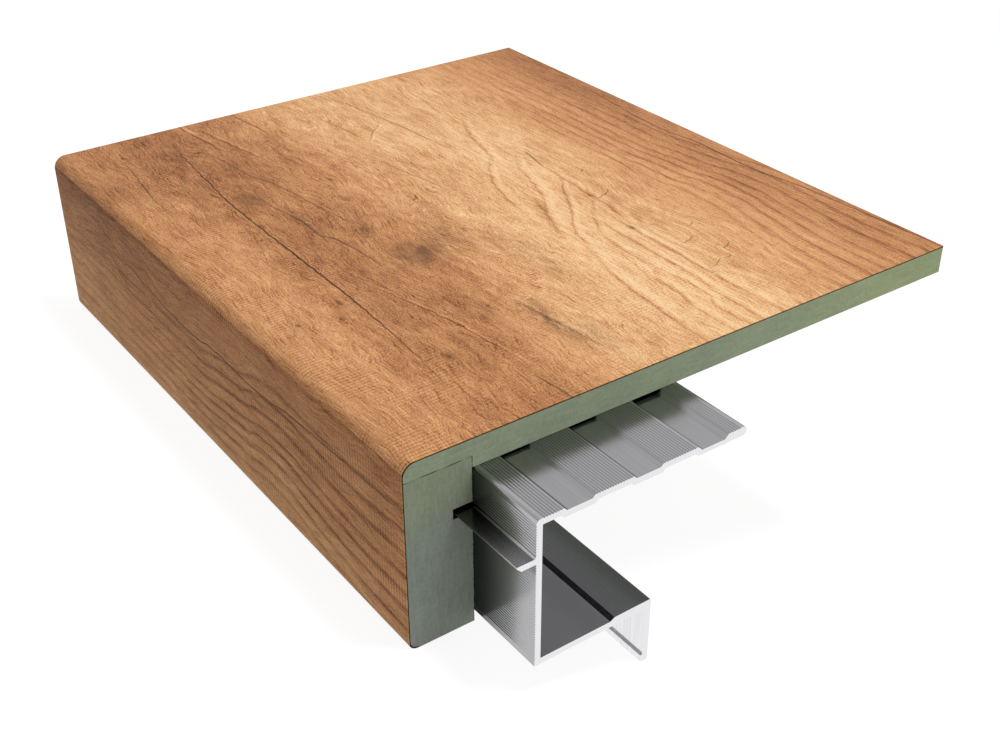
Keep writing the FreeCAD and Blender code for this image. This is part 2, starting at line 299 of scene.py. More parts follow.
# along the sheet, how far the back strip's lines swing to the back
BACK_STRIP_SWING = [
    (0, 0.4),
    (60, 0.0),
    (106, 0.0),
    (118, 1.1),
    (131, 1.7),
    (140, 3.6),
    (149, 4.0),
    (165, 2.0),
    (180, -0.4),
    (196, -2.2),
    (214, -2.8),
]
print(len(GROWTH_LINES), "growth lines and", len(BACK_STRIP_LINES), "in the back strip")

# %% [markdown]
# Patches lighten or darken the ground, pin knots are small dark dots, and the ground itself changes
# slowly from the back edge to the nosing.  The colours are those of rustic oak, from the brown of the
# late wood to honey.

# %% Ground tones of the print
# at, over, half length, half width, how much lighter or darker
PATCHES = [
    (168.0, 76.0, 55.0, 16.0, 0.13),
    (78.0, 64.0, 40.0, 14.0, 0.10),
    (60.0, 48.0, 40.0, 10.0, 0.04),
    (128.0, 126.0, 10.0, 6.0, -0.09),
    (112.0, 112.0, 18.0, 7.0, -0.10),
    (156.0, 134.0, 10.0, 6.0, -0.10),
    (68.0, 148.0, 6.0, 4.5, -0.06),
    (93.0, 142.6, 7.0, 2.2, -0.10),
    (104.0, 131.0, 8.0, 3.0, -0.05),
    (132.0, 148.0, 16.0, 5.0, -0.08),
    (46.0, 122.0, 12.0, 7.0, -0.05),
    (30.0, 156.0, 46.0, 9.0, -0.05),
    (60.0, 8.0, 40.0, 9.0, -0.05),
    (150.0, 12.0, 60.0, 8.0, -0.06),
    (186.0, 117.5, 16.0, 3.4, -0.05),
    (150.0, 176.0, 60.0, 12.0, 0.08),
    (205.0, 118.0, 40.0, 18.0, 0.14),
    (10.0, 165.0, 50.0, 20.0, -0.10),
    (190.0, 96.0, 60.0, 10.0, 0.04),
    # this patch darkens the top rows of the front towards the far end as painted shade, and the back edge of
    # the top as print
    (20.0, -6.0, 80.0, 16.0, -0.16),
    # this patch lightens the bottom of the front towards the near end as painted light from the floor, and
    # the back strip of the top as print
    (172.0, 34.0, 34.0, 10.0, 0.06),
    (104.0, 72.0, 12.0, 3.6, 0.07),
    (150.0, 88.0, 18.0, 3.0, 0.04),
    (16.0, 73.0, 22.0, 9.0, -0.04),
    (90.0, 84.0, 14.0, 5.0, -0.06),
    (116.0, 57.0, 16.0, 4.5, -0.05),
    (150.0, 58.0, 20.0, 6.0, -0.05),
    (70.0, 176.0, 14.0, 5.0, 0.05),
    (94.0, 168.0, 7.0, 4.5, 0.05),
    (117.0, 170.5, 10.0, 4.0, 0.05),
    (52.0, 181.0, 10.0, 3.0, 0.03),
    (39.0, 179.0, 8.0, 4.0, -0.08),
    (116.0, 161.0, 9.0, 3.0, -0.07),
    (45.0, 127.0, 10.0, 5.0, -0.06),
]
# at, over, half length, half width, strength: where the wood has gone grey
SMUDGES = [
    (128.5, 126.0, 6.5, 7.0, 0.72),
    (122.0, 113.0, 11.0, 6.0, 0.28),
    (182.0, 118.4, 13.0, 2.5, 0.62),
    (196.0, 113.0, 12.0, 3.0, 0.24),
    (68.0, 148.5, 4.0, 3.5, 0.45),
    (92.0, 142.2, 7.0, 1.6, 0.42),
    (104.0, 131.4, 8.0, 2.2, 0.32),
    (166.0, 129.0, 7.0, 2.0, 0.26),
    (152.0, 150.0, 10.0, 4.0, 0.18),
    (150.0, 100.0, 18.0, 4.0, 0.14),
]
SMUDGE_GREY = tint(116, 84, 62)
# at, over, radius
PIN_KNOTS = [
    (181.0, 150.5, 1.0),
    (145.0, 174.2, 0.8),
    (140.5, 159.2, 0.7),
    (151.6, 65.2, 0.9),
]
PIN_STRETCH = 1.4
# across the print, ground tone
GROUND_START = -14.0
GROUND_END = 187.0
GROUND = [
    (GROUND_START, 0.38),
    (-6.0, 0.39),
    (0.0, 0.445),
    (19.0, 0.51),
    (38.0, 0.59),
    (53.0, 0.66),
    (82.0, 0.725),
    (99.0, 0.665),
    (112.0, 0.59),
    (123.0, 0.465),
    (134.0, 0.395),
    (145.0, 0.36),
    (169.0, 0.47),
    (GROUND_END, 0.435),
]
OAK = [
    (0.00, tint(98, 60, 38)),
    (0.22, tint(160, 105, 68)),
    (0.45, tint(202, 144, 98)),
    (0.68, tint(232, 176, 123)),
    (0.95, tint(254, 215, 163)),
]
CRACK_BROWN = tint(70, 46, 33)
RESIN_BROWN = tint(74, 54, 40)
print(len(PATCHES), "patches and", len(PIN_KNOTS), "pin knots")

# %% [markdown]
# Now the finish.  First the flat sheet's coordinates, with a little noise added so that no line is ruled.

# %% Coordinates on the sheet
decor = Finish("oak_decor")
along, y_level, z_level = decor.level_place()[1:]
across = decor.math("SUBTRACT", SHEET_WIDTH, decor.math("ADD", y_level, z_level))
sheet_place = decor.vector(along, across)
repeat = decor.math("MULTIPLY", decor.math("GREATER_THAN", across, PRINT_EDGE), PRINT_REPEAT)
print_across = decor.math("SUBTRACT", across, repeat)


def sheet_noise(along_scale, across_scale, **settings):
    """Noise on the flat sheet, with features about 1 / scale millimetres long and wide."""
    return decor.noise(decor.scaled(sheet_place, (along_scale, across_scale, 1.0)), **settings)


def shifted(socket, noise, reach):
    """Moves a coordinate to and fro by up to about half of reach."""
    return decor.math("ADD", socket, decor.math("MULTIPLY_ADD", noise, reach, -reach / 2))


frayed_across = shifted(print_across, sheet_noise(0.22, 0.2, detail=3.0), 1.3)
crazed_along = shifted(along, sheet_noise(0.1, 0.7, detail=2.0), 2.2)
wavy_across = shifted(print_across, sheet_noise(0.09, 0.13, detail=3.0), 3.0)
slow_across = shifted(print_across, sheet_noise(0.016, 0.05, detail=3.0), 10.0)
wavy_along = shifted(along, sheet_noise(0.2, 0.2, detail=2.0), 4.0)
grown_across = shifted(print_across, sheet_noise(0.25, 0.3, detail=3.0), 2.0)
print("print repeats after", PRINT_REPEAT, "mm")

# %% [markdown]
# A drawn line is a float curve: it takes the place along its run and gives the line's place beside it.
# The mask is 1 on the line and falls off to both sides, and it thins towards the line's ends.  A second
# mask lies beside it: the pale early wood that follows a growth line.  Most lines run along the sheet, and
# the fine cracks of the eye run across it.


# %% Lines and patches
CRACK_SHARPNESS = 1.8
FLANK_OFFSET = 2.4
FLANK_WIDTH = 1.8


def drawn_line(run, beside_run, points, half_width, sharpness=1.0):
    """The masks of one line and of the band beside it."""
    start, end = points[0][0], points[-1][0]
    low = min(over for at, over in points) - 1.0
    high = max(over for at, over in points) + 1.0
    share = decor.math("DIVIDE", decor.math("SUBTRACT", run, start), end - start)
    shape = [((at - start) / (end - start), (over - low) / (high - low)) for at, over in points]
    line = decor.math("MULTIPLY_ADD", decor.curve(share, shape), high - low, low)
    beside = decor.math("DIVIDE", decor.math("SUBTRACT", beside_run, line), half_width)
    swell = decor.math("MULTIPLY", decor.math("SUBTRACT", 1.0, share), share)
    taper = decor.math("SQRT", decor.math("MULTIPLY", swell, 4.0, clamp=True))
    core = decor.math("SUBTRACT", taper, decor.math("ABSOLUTE", beside))
    core = decor.math("MULTIPLY", core, sharpness, clamp=True)
    flank = decor.math("ABSOLUTE", decor.math("ADD", beside, FLANK_OFFSET))
    flank = decor.math("SUBTRACT", taper, decor.math("MULTIPLY", flank, 1.0 / FLANK_WIDTH), clamp=True)
    return core, flank


def largest(sockets):
    """The darkest of several masks at each place."""
    total = sockets[0]
    for socket in sockets[1:]:
        total = decor.math("MAXIMUM", total, socket)
    return total


def patch(at, over, length, width):
    """A soft round patch: 1 at its middle, fading outwards."""
    off_along = decor.math("DIVIDE", decor.math("SUBTRACT", wavy_along, at), length)
    off_across = decor.math("DIVIDE", decor.math("SUBTRACT", wavy_across, over), width)
    away = decor.math("MULTIPLY_ADD", off_along, off_along, decor.math("MULTIPLY", off_across, off_across))
    return decor.math("EXPONENT", decor.math("MULTIPLY", away, -1.0))


def added(sockets):
    """The sum of several masks."""
    total = sockets[0]
    for socket in sockets[1:]:
        total = decor.math("ADD", total, socket)
    return total


crack_cores = []
for points, half_width, darkness in CRACKS:
    core = drawn_line(along, frayed_across, points, half_width, CRACK_SHARPNESS)[0]
    crack_cores.append(decor.math("MULTIPLY", core, darkness))
cracks = largest(crack_cores)
crazing = largest([drawn_line(print_across, crazed_along, *crack, CRACK_SHARPNESS)[0] for crack in CRAZING])
growth_pairs = [drawn_line(along, grown_across, *line) for line in GROWTH_LINES]
growth = largest([core for core, flank in growth_pairs])
early_wood = largest([flank for core, flank in growth_pairs])
pins = added([patch(at, over, radius * PIN_STRETCH, radius) for at, over, radius in PIN_KNOTS])
patches = added([decor.math("MULTIPLY", patch(*spot), lift) for *spot, lift in PATCHES])
smudges = added([decor.math("MULTIPLY", patch(*spot), depth) for *spot, depth in SMUDGES])
print("nodes so far:", len(decor.tree.nodes))

# %% [markdown]
# The back strip's lines are one colour ramp read across the strip.  The swing curve bends the ramp, and
# the lines also spread apart to the right, as they do beside a knot.

# %% Growth lines of the back strip
SWING_REACH = 10.0
SPREAD_START = 106.0
SPREAD_OVER = 107.0
SPREAD = 0.5
SPREAD_ABOUT = 33.7
LINE_BACK, LINE_FRONT = -0.6, 1.3
FADE_START, FADE_END, FADE_LEFT = 20.0, 120.0, 0.35
swing_shape = [(at / TREAD_LENGTH, swing / SWING_REACH + 0.5) for at, swing in BACK_STRIP_SWING]
swing = decor.curve(decor.math("DIVIDE", along, TREAD_LENGTH), swing_shape)
swing = decor.math("MULTIPLY_ADD", swing, SWING_REACH, -SWING_REACH / 2)
spread = decor.span(along, SPREAD_START, SPREAD_START + SPREAD_OVER, 0.0, SPREAD)
strip_place = decor.math("ADD", shifted(print_across, sheet_noise(0.05, 0.12, detail=2.0), 1.4), swing)
strip_place = decor.math("MULTIPLY_ADD", spread, SPREAD_ABOUT, strip_place)
strip_place = decor.math("DIVIDE", strip_place, decor.math("ADD", spread, 1.0))
strip_stops = []
for line_place, darkness in BACK_STRIP_LINES:
    for offset, depth in ((LINE_BACK, 0.0), (0.0, darkness), (LINE_FRONT, 0.0)):
        strip_stops.append(((line_place + offset) / BACK_STRIP_WIDTH, (depth, depth, depth)))
strip = decor.ramp(decor.math("DIVIDE", strip_place, BACK_STRIP_WIDTH), strip_stops)
strip = decor.math("MULTIPLY", strip, decor.span(along, FADE_START, FADE_END, FADE_LEFT, 1.0))
print("back strip ramp stops:", len(strip_stops))

# %% [markdown]
# The ground tone changes slowly from the back edge to the nosing.  The brown band before the nosing is a
# burl, where the fibres swirl, and the strip at the back is straight and calm.  We mark these zones once,
# as masks across the print, because several layers of the figure ask for them.

# %% Zones of the print
BURL_BACK = (74.0, 96.0)
BURL_FRONT = (186.0, 164.0)
STRIP_FADE = (BACK_STRIP_WIDTH - 8.0, BACK_STRIP_WIDTH + 6.0)
ground_span = GROUND_END - GROUND_START
ground_share = decor.span(slow_across, GROUND_START, GROUND_END)
ground = decor.ramp(ground_share, [((at - GROUND_START) / ground_span, (tone,) * 3) for at, tone in GROUND])
burl_zone = decor.math("MULTIPLY", decor.span(slow_across, *BURL_BACK), decor.span(slow_across, *BURL_FRONT))
in_strip = decor.span(print_across, *STRIP_FADE, 1.0, 0.0)
on_front = decor.math("GREATER_THAN", across, PRINT_EDGE)
print("burl between", BURL_BACK[0], "and", BURL_FRONT[0], "mm from the back edge")

# %% [markdown]
# Grain is noise that is stretched along the sheet.  Streaks, flames and curls change the tone over
# centimetres, flecks and fibres over millimetres, and grit keeps the paper from looking smooth.  Ruled
# fibres would look like plastic, so they bend a little everywhere and swirl in the burl.

# %% Grain
SWIRL_IN_BURL = 4.5
SWIRL_ELSEWHERE = 1.0
bend = shifted(across, sheet_noise(0.018, 0.028, detail=2.0), 26.0)
bend = shifted(bend, sheet_noise(0.06, 0.08, detail=2.0), 7.0)
streak_place = decor.vector(along, bend)
streak = decor.noise(decor.scaled(streak_place, (0.022, 0.42, 1.0)), detail=4.0, roughness=0.6)
flame = sheet_noise(0.035, 0.11, detail=3.0, roughness=0.5, distortion=1.2)
curl = sheet_noise(0.11, 0.18, detail=3.0, roughness=0.45, distortion=2.6)
swirl = decor.math("SUBTRACT", sheet_noise(0.07, 0.10, detail=2.0, distortion=1.5), 0.5)
swirl_reach = decor.math("MULTIPLY_ADD", burl_zone, SWIRL_IN_BURL, SWIRL_ELSEWHERE)
grain_bend = shifted(across, sheet_noise(0.02, 0.03, detail=2.0), 14.0)
grain_bend = decor.math("ADD", grain_bend, decor.math("MULTIPLY", swirl, swirl_reach))
grain_place = decor.vector(along, grain_bend)
fleck = decor.noise(decor.scaled(grain_place, (0.03, 1.0, 1.0)), detail=3.0, roughness=0.55)
fibre = decor.noise(decor.scaled(grain_place, (0.11, 3.0, 1.0)), detail=2.0, roughness=0.6)
strokes = decor.noise(decor.scaled(grain_place, (0.09, 1.5, 1.0)), detail=3.0, roughness=0.6)
dark_strokes = decor.span(strokes, 0.57, 0.69)
pale_strokes = decor.span(strokes, 0.43, 0.31)
grit = sheet_noise(1.8, 2.6, detail=2.0, roughness=0.7)
pores = decor.span(sheet_noise(0.5, 4.2, detail=1.0), 0.58, 0.70)
island = decor.span(sheet_noise(0.05, 0.09, detail=3.0, roughness=0.5, distortion=1.6), 0.46, 0.54)
print("nodes with the grain:", len(decor.tree.nodes))

# %% [markdown]
# Where a noise passes through its middle value it draws a thin winding line, which makes veins and the
# curls of the burl.  The print also keeps rows of fine saw ticks, clearest towards the nosing and on the
# front, and rings lie round an eye near the back.


# %% Veins, ticks and rings
TICKS_TURN = 5.0
TICKS_START, TICKS_FULL = 146.0, 166.0
TICKS_FAINT, TICKS_CLEAR, TICKS_ON_FRONT = 0.04, 0.075, 0.09
EYE_AT, EYE_OVER = 161.0, 56.5
EYE_LENGTH, EYE_WIDTH = 30.0, 10.0
EYE_RINGS = 19.0
EYE_FADE = -0.9


def contour(noise, half_width):
    """Thin lines where a noise passes through its middle value."""
    off_middle = decor.math("ABSOLUTE", decor.math("SUBTRACT", noise, 0.5))
    return decor.span(off_middle, 0.0, half_width, 1.0, 0.0)


veins = contour(decor.noise(decor.scaled(streak_place, (0.014, 0.17, 1.0)), detail=2.0), 0.012)
burl = contour(sheet_noise(0.07, 0.10, detail=3.0, distortion=2.4), 0.016)
burl = decor.math("MULTIPLY", burl, burl_zone)
ticks = decor.math("SINE", decor.math("MULTIPLY", shifted(along, flame, 0.5), TICKS_TURN))
ticks = decor.math("MULTIPLY", ticks, decor.span(sheet_noise(0.03, 0.07, detail=2.0), 0.44, 0.60))
tick_depth = decor.span(print_across, TICKS_START, TICKS_FULL, TICKS_FAINT, TICKS_CLEAR)
tick_depth = decor.math("MAXIMUM", tick_depth, decor.math("MULTIPLY", on_front, TICKS_ON_FRONT))
eye_along = decor.math("DIVIDE", decor.math("SUBTRACT", wavy_along, EYE_AT), EYE_LENGTH)
eye_across = decor.math("DIVIDE", decor.math("SUBTRACT", wavy_across, EYE_OVER), EYE_WIDTH)
away = decor.math("MULTIPLY_ADD", eye_along, eye_along, decor.math("MULTIPLY", eye_across, eye_across))
rings = decor.math("SINE", decor.math("MULTIPLY", decor.math("SQRT", away), EYE_RINGS))
rings = decor.math("MULTIPLY", rings, decor.math("EXPONENT", decor.math("MULTIPLY", away, EYE_FADE)))
print("eye at", EYE_AT, "and", EYE_OVER, "mm")

# %% [markdown]
# The figure is the sum of the noises, each with its share.  It is stronger on pale ground than on dark,
# calmer in the back strip, and a little stronger on the front.

# %% Figure of the print
FIGURE_SHARES = (
    (streak, 0.22),
    (flame, 0.30),
    (curl, 0.15),
    (fleck, 0.12),
    (fibre, 0.66),
    (grit, 0.86),
)
FIGURE_BY_GROUND, FIGURE_REST = 1.9, 0.22
DARK_STROKES, PALE_STROKES = -0.22, 0.13
CALM_STRIP = -0.3
CLEAR_FRONT = 0.30
figure = decor.math("MULTIPLY", ticks, tick_depth)
for part, share in FIGURE_SHARES:
    figure = decor.math("MULTIPLY_ADD", decor.math("SUBTRACT", part, 0.5), share, figure)
figure = decor.math("MULTIPLY", figure, decor.math("MULTIPLY_ADD", ground, FIGURE_BY_GROUND, FIGURE_REST))
figure = decor.math("MULTIPLY_ADD", dark_strokes, DARK_STROKES, figure)
figure = decor.math("MULTIPLY_ADD", pale_strokes, PALE_STROKES, figure)
figure = decor.math("MULTIPLY", figure, decor.math("MULTIPLY_ADD", in_strip, CALM_STRIP, 1.0))
figure = decor.math("MULTIPLY", figure, decor.math("MULTIPLY_ADD", on_front, CLEAR_FRONT, 1.0))
print(len(FIGURE_SHARES), "layers in the figure")

# %% [markdown]
# Ground, patches, figure and lines add up to one tone, and a colour ramp turns the tone into oak.  Painted
# shade darkens the top of the front just under the nosing, where the drawing starts again, and painted
# light lifts the whole front a little.

# %% Tone of the print
NOSING_SHADE_WIDTH = 3.5
ISLAND_IN_BURL, ISLAND_ELSEWHERE = 0.035, 0.02
FRONT_PAINTED_LIGHT = 0.02
STRIP_ON_FRONT = 0.4
strip = decor.math("MULTIPLY", strip, decor.span(streak, 0.35, 0.65, 1.15, 0.8))
strip = decor.math("MULTIPLY", strip, decor.math("MULTIPLY_ADD", on_front, STRIP_ON_FRONT, 1.0))
# painted shade: a dark band at the top of the front, just under the nosing's edge
nosing_shade = decor.math("MULTIPLY", on_front, decor.span(across, PRINT_EDGE, PRINT_EDGE + NOSING_SHADE_WIDTH, 1.0, 0.0))
tone = decor.math("ADD", decor.math("ADD", ground, patches), figure)
island_share = decor.math("MULTIPLY_ADD", burl_zone, ISLAND_IN_BURL, ISLAND_ELSEWHERE)
tone = decor.math("MULTIPLY_ADD", decor.math("SUBTRACT", island, 0.5), island_share, tone)
for part, share in (
    (strip, -0.25),
    (growth, -0.28),
    (early_wood, 0.16),
    (pores, -0.26),
    (veins, -0.07),
    (burl, -0.11),
    (rings, 0.065),
    (nosing_shade, -0.09),
    # painted light: the whole front is lifted a little lighter than the same print on the top
    (on_front, FRONT_PAINTED_LIGHT),
):
    tone = decor.math("MULTIPLY_ADD", part, share, tone)
oak = decor.ramp(tone, OAK)
print("oak ramp stops:", len(OAK))

# %% [markdown]
# Smudges, pin knots and cracks lie over the oak.  Noise breaks up the smudges and the cracks, so that none
# of them is one flat colour.  On a sawn edge the sheet shows its dark resin core under a thin printed
# paper.  The print has almost no gloss, and its pores and cracks are pressed in a little.

# %% The decor's finish
PIN_DARK = 0.7
CRAZING_DARK = 0.65
PAPER_DEPTH = 0.22
GLOSS = 0.03
ROUGHNESS = (0.42, 0.55)
PORE_RELIEF, GRIT_RELIEF = -0.25, 0.35
PRESS_STRENGTH, PRESS_DEPTH = 0.35, 0.0002
smudges = decor.math("MULTIPLY", smudges, decor.span(curl, 0.35, 0.65, 1.3, 0.6))
smudges = decor.math("MULTIPLY", smudges, decor.span(fibre, 0.3, 0.7, 1.4, 0.6), clamp=True)
oak = decor.mix(smudges, oak, SMUDGE_GREY)
crack_fill = decor.span(sheet_noise(0.06, 0.06, detail=2.0), 0.35, 0.6, 0.75, 1.0)
shade = decor.math("MULTIPLY", pins, PIN_DARK)
shade = decor.math("MAXIMUM", decor.math("MULTIPLY", crazing, CRAZING_DARK), shade)
shade = decor.math("MAXIMUM", decor.math("MULTIPLY", cracks, crack_fill), shade, clamp=True)
oak = decor.mix(shade, oak, CRACK_BROWN)
depth = decor.math("MINIMUM", decor.math("SUBTRACT", NOSE_HEIGHT, z_level), y_level)
depth = decor.math("MINIMUM", depth, z_level)
core = decor.math("MULTIPLY", decor.end_grain_mask(), decor.math("GREATER_THAN", depth, PAPER_DEPTH))
decor.join(decor.mix(core, oak, RESIN_BROWN), decor.shader.inputs["Base Color"])
decor.join(decor.span(fleck, 0.3, 0.7, *ROUGHNESS), decor.shader.inputs["Roughness"])
decor.shader.inputs["Specular IOR Level"].default_value = GLOSS
relief = decor.math("MULTIPLY_ADD", pores, PORE_RELIEF, decor.math("MULTIPLY", grit, GRIT_RELIEF))
decor.bump(decor.math("SUBTRACT", relief, cracks), PRESS_STRENGTH, PRESS_DEPTH)
dress("decor_laminate", decor)

# %% [markdown]
# The cores are moisture-resistant fibreboard, dyed green and sawn square.  A sawn edge shows the pressed
# fibres as short streaks along the board's layers.  In the tread board the layers lie flat; in the nose
# block, which stands on edge, they stand upright.  One function makes both, with the streaks turned.


# %% The fibreboard finish
JOINT_HEIGHT = 50.7
JOINT_BACK = 19.5
JOINT_HALF = 0.13
JOINT_DARK = tint(40, 40, 34)
JOINT_CLOSED, JOINT_OPEN = 0.15, 0.9
GROOVE_LOW, GROOVE_HIGH = 34.5, 37.7
GROOVE_FLOOR = 13.7
# painted shade for the inside of the block's groove
GROOVE_SHADE = tint(14, 15, 13)
LAYER_SHARE, CHIP_SHARE, CLOUD_SHARE = 0.40, 0.45, 0.25
TONE_DEEP, TONE_PALE = 0.40, 0.70
BOARD_ROUGHNESS = 0.82
BOARD_GLOSS = 0.25
SAW_STRENGTH, SAW_DEPTH = 0.25, 0.00015


def fibreboard(name, near_tints, far_tints, layer_scale, axis, near, far):
    """Sawn board, its pale and deep tints changing from `near` to `far` along one axis of the tread; the
    change carries painted light and shade as well as a shift in hue.
    """
    finish = Finish(name)
    place, *axes = finish.level_place()
    y, z = axes[1:]
    layers = finish.noise(finish.scaled(place, layer_scale), detail=4.0, roughness=0.65)
    chips = finish.noise(finish.scaled(place, (1.1, 1.1, 1.1)), detail=4.0, roughness=0.7)
    clouds = finish.noise(finish.scaled(place, (0.06, 0.06, 0.06)), detail=2.0)
    tone = finish.math("MULTIPLY_ADD", layers, LAYER_SHARE, finish.math("MULTIPLY", chips, CHIP_SHARE))
    tone = finish.math("MULTIPLY_ADD", clouds, CLOUD_SHARE, tone)
    near_colour = finish.ramp(tone, [(TONE_DEEP, near_tints[1]), (TONE_PALE, near_tints[0])])
    far_colour = finish.ramp(tone, [(TONE_DEEP, far_tints[1]), (TONE_PALE, far_tints[0])])
    colour = finish.mix(finish.span(axes[axis], near, far, smooth=True), near_colour, far_colour)
    above = finish.math("ABSOLUTE", finish.math("SUBTRACT", z, JOINT_HEIGHT))
    behind = finish.math("ABSOLUTE", finish.math("SUBTRACT", y, JOINT_BACK))
    on_flat = finish.math("LESS_THAN", above, JOINT_HALF)
    on_back = finish.math("LESS_THAN", behind, JOINT_HALF)
    flat_joint = finish.math("MULTIPLY", on_flat, finish.math("LESS_THAN", y, JOINT_BACK))
    back_joint = finish.math("MULTIPLY", on_back, finish.math("LESS_THAN", z, JOINT_HEIGHT))
    joint = finish.math("MAXIMUM", flat_joint, back_joint)
    gaps = finish.noise(finish.scaled(place, (0.2, 0.2, 0.6)), detail=3.0)
    joint = finish.math("MULTIPLY", joint, finish.span(gaps, 0.42, 0.52, JOINT_CLOSED, JOINT_OPEN))
    colour = finish.mix(joint, colour, JOINT_DARK)
    # painted shade: the faces inside the groove, round the tongue, are painted near black
    shaded_groove = finish.math("SUBTRACT", 1.0, finish.end_grain_mask())
    for test, value, limit in (
        ("GREATER_THAN", z, GROOVE_LOW),
        ("LESS_THAN", z, GROOVE_HIGH),
        ("GREATER_THAN", y, GROOVE_FLOOR),
        ("LESS_THAN", y, JOINT_BACK - JOINT_HALF),
    ):
        shaded_groove = finish.math("MULTIPLY", shaded_groove, finish.math(test, value, limit))
    colour = finish.mix(shaded_groove, colour, GROOVE_SHADE)
    finish.join(colour, finish.shader.inputs["Base Color"])
    finish.shader.inputs["Roughness"].default_value = BOARD_ROUGHNESS
    finish.shader.inputs["Specular IOR Level"].default_value = BOARD_GLOSS
    finish.bump(finish.math("ADD", layers, chips), SAW_STRENGTH, SAW_DEPTH)
    return finish


# painted light: the board is paler and yellower towards the back, as if lit there
BOARD_NEAR_SHADED = (tint(184, 195, 161), tint(154, 168, 143))
BOARD_FAR_LIT = (tint(200, 211, 160), tint(170, 183, 142))
BLOCK_HIGH = (tint(176, 186, 154), tint(148, 159, 138))
# painted shade: the block's lower tints are a little darker, for the shade under the tongue, as well as
# bluer
BLOCK_LOW_SHADED = (tint(173, 182, 167), tint(146, 155, 143))
FLAT_LAYERS = (0.25, 0.25, 1.6)
UPRIGHT_LAYERS = (0.25, 1.6, 0.2)
DEPTHWISE, UPWARD = 1, 2
# where the tints, with their painted light and shade, begin and end to change, in mm from the front and from
# the foot
BOARD_CHANGE = (90.0, 176.0)
BLOCK_CHANGE = (46.0, 28.0)
board = fibreboard("green_board", BOARD_NEAR_SHADED, BOARD_FAR_LIT, FLAT_LAYERS, DEPTHWISE, *BOARD_CHANGE)
block = fibreboard("green_block", BLOCK_HIGH, BLOCK_LOW_SHADED, UPRIGHT_LAYERS, UPWARD, *BLOCK_CHANGE)
dress("tread_board", board)
dress("nose_block", block)

# %% [markdown]
# The profile is extruded aluminium.  The die leaves faint lines along its length, and the saw leaves a
# brighter, finer face across its ends.  Metal shows its surroundings, so most of its look comes from the
# light; the nodes add the die lines, the brushed lip and the sawn ends, and painted light and shade: lighter
# copies of the alloy on the web, the shelf, the lip and the land tops, painted shade in the groove facets,
# at the foot of each recess and wherever the board lies over the profile, and a painted reflection of the
# nose block darkening the web.

# %% The aluminium finish
LAND_HEIGHT = NOSE_HEIGHT - BOARD_FACE
GROOVE_DEPTH = 0.3
FLANGE_DEPTH = 1.4
EDGE = 0.02
RECESS_FOOTS = (28.2, 48.8, 69.4)
FOOT_HALF = 0.3
LIP_FRONT = 50.0
LIP_TOP = 3.5
ALLOY_DEEP, ALLOY_PALE = tint(147, 147, 149), tint(160, 160, 162)
ALLOY_WEB_LIT = tint(179, 179, 181)
ALLOY_SHELF_LIT = tint(176, 176, 178)
ALLOY_UNLIT = tint(34, 34, 35)
WEB_DEPTH = 0.4
SHELF_HEIGHT = 6.5
SHELF_STEP = 44.4
REFLECTION_REACH = 19.0
REFLECTION_DEPTH = 0.85
ALLOY_LAND_SHEEN = tint(165, 165, 167)
ALLOY_GROOVE_SHADE = tint(141, 141, 143)
ALLOY_FOOT_SHADE = tint(96, 96, 98)
ALLOY_LIP_LIT, ALLOY_BRUSHED_LIT = tint(242, 242, 244), tint(232, 232, 235)
ALLOY_CUT = tint(230, 230, 232)
COVER_EDGE = 0.05
ALLOY_ROUGHNESS = (0.17, 0.24)
CUT_ROUGHER = 0.22
DIE_STRENGTH, DIE_DEPTH = 0.05, 0.0001

alloy = Finish("mill_aluminium")
place, x, y, z = alloy.level_place()
slant = alloy.slant()
die_lines = alloy.noise(alloy.scaled(place, (0.01, 3.0, 3.0)), detail=4.0, roughness=0.7)
shade = alloy.mix(alloy.span(die_lines, 0.3, 0.7), ALLOY_DEEP, ALLOY_PALE)
web = alloy.math("LESS_THAN", y, JOINT_BACK + WEB_DEPTH)
# painted light: the web gets a lighter copy of the alloy
shade = alloy.mix(web, shade, ALLOY_WEB_LIT)
# painted reflection: the web darkens towards the nose block, where it mirrors the block's end
block_reflection = alloy.span(x, TREAD_LENGTH, TREAD_LENGTH + REFLECTION_REACH, REFLECTION_DEPTH, 0.0, smooth=True)
shade = alloy.mix(alloy.math("MULTIPLY", web, block_reflection), shade, ALLOY_UNLIT)
low_down = alloy.math("LESS_THAN", z, SHELF_HEIGHT)
shelf = alloy.math("MULTIPLY", low_down, alloy.math("LESS_THAN", y, SHELF_STEP))
shelf = alloy.math("SUBTRACT", shelf, web, clamp=True)
# painted light: the low shelf gets a lighter copy of the alloy
shade = alloy.mix(shelf, shade, ALLOY_SHELF_LIT)
# painted sheen on the flat tops of the lands, and painted shade on the slanted facets of their grooves
land_sheen = alloy.math("GREATER_THAN", z, LAND_HEIGHT - EDGE)
near_land = alloy.math("GREATER_THAN", z, LAND_HEIGHT - GROOVE_DEPTH)
groove_shade = alloy.math("MULTIPLY", near_land, alloy.span(slant, 0.40, 0.46))
shade = alloy.mix(land_sheen, shade, ALLOY_LAND_SHEEN)
shade = alloy.mix(groove_shade, shade, ALLOY_GROOVE_SHADE)
on_flange = alloy.math("GREATER_THAN", z, LAND_HEIGHT - FLANGE_DEPTH)
# painted shade: a thin dark line at the foot of each recess step
for foot in RECESS_FOOTS:
    near = alloy.math("LESS_THAN", alloy.math("ABSOLUTE", alloy.math("SUBTRACT", y, foot)), FOOT_HALF)
    shade = alloy.mix(alloy.math("MULTIPLY", near, on_flange), shade, ALLOY_FOOT_SHADE)
lip = alloy.math("MULTIPLY", alloy.math("GREATER_THAN", y, LIP_FRONT), alloy.math("LESS_THAN", z, LIP_TOP))
brush = alloy.noise(alloy.scaled(place, (2.4, 0.1, 0.04)), detail=2.0)
